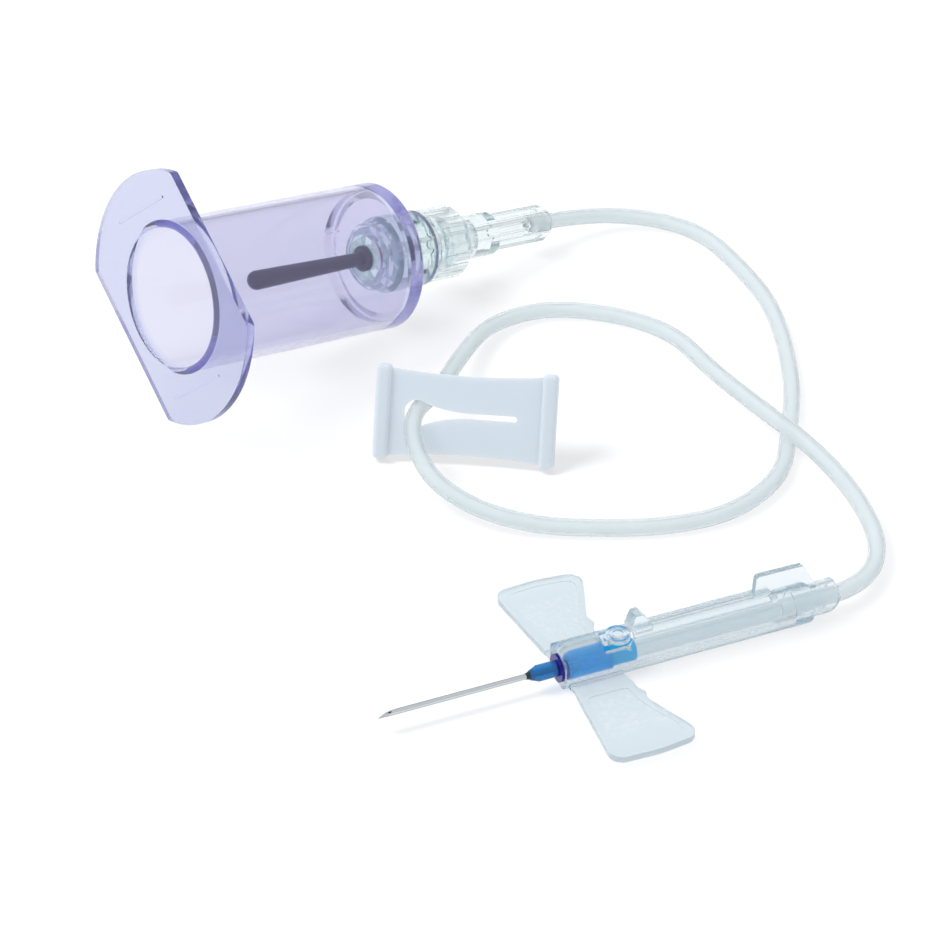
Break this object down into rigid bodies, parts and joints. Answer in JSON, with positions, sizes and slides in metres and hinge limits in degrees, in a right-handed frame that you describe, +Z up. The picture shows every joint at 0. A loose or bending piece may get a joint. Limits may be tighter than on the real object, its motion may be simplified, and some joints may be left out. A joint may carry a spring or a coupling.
{
  "type": "butterfly needle",
  "caption": "Winged blood-collection needle with a sliding safety shield, flexible tubing, slide clamp, luer connector and tube holder.",
  "frame": {"origin": "on the table under the needle line, midway along the wing roots, on the flat bottom of the needle shield", "axes": "+Z up from the table; -X along the needle line towards the needle's point; +Y towards the left wing and the tube holder"},
  "size_m": [0.0884, 0.1101, 0.0322],
  "materials": {
    "holder_plastic": "smooth moulded polypropylene, milky",
    "adapter_plastic": "smooth moulded, translucent",
    "collar_plastic": "smooth moulded with grip ribs, translucent",
    "connector_plastic": "smooth moulded, translucent",
    "sleeve_rubber": "soft matt rubber",
    "tube_vinyl": "soft clear vinyl",
    "clamp_plastic": "smooth moulded, slightly translucent",
    "shield_plastic": "smooth moulded, translucent",
    "wing_plastic": "soft moulded vinyl with a fine pebble texture inside the borders",
    "hub_plastic": "smooth moulded, tinted blue",
    "needle_steel": "drawn and polished",
    "hub_glue": "cured adhesive"
  },
  "bodies": {
    "line": {"tube_holder": "holder_plastic", "luer_adapter": "adapter_plastic", "lock_collar": "collar_plastic", "rear_needle": "needle_steel", "rear_sleeve": "sleeve_rubber", "luer_connector": "connector_plastic", "tubing": "tube_vinyl", "needle_hub": "hub_plastic", "needle": "needle_steel", "glue_bead": "hub_glue"},
    "shield": {"needle_shield": "shield_plastic"},
    "latch": {"latch_button": "shield_plastic"},
    "wing_l": {"left_wing": "wing_plastic"},
    "wing_r": {"right_wing": "wing_plastic"},
    "clamp": {"slide_clamp": "clamp_plastic"}
  },
  "joints": [
    {"name": "shield_slide", "type": "slide", "parent": "line", "child": "shield", "axis": [-1, 0, 0], "range_m": [0, 0.024]},
    {"name": "latch_press", "type": "hinge", "parent": "shield", "child": "latch", "pos_m": [0.00185, 0, 0.0048], "axis": [0, 1, 0], "range_deg": [0, 8], "stiffness_Nm_per_rad": 0.003},
    {"name": "left_wing_fold", "type": "hinge", "parent": "shield", "child": "wing_l", "pos_m": [0, 0.00295, 0.00115], "axis": [1, 0, 0], "range_deg": [0, 85], "stiffness_Nm_per_rad": 0.0005},
    {"name": "right_wing_fold", "type": "hinge", "parent": "shield", "child": "wing_r", "pos_m": [0, -0.00295, 0.00115], "axis": [-1, 0, 0], "range_deg": [0, 85], "stiffness_Nm_per_rad": 0.0005},
    {"name": "clamp_slide", "type": "slide", "parent": "line", "child": "clamp", "axis": [-0.862, 0.5069, 0], "range_m": [0, 0.0105], "deforming": ["tubing"]}
  ]
}
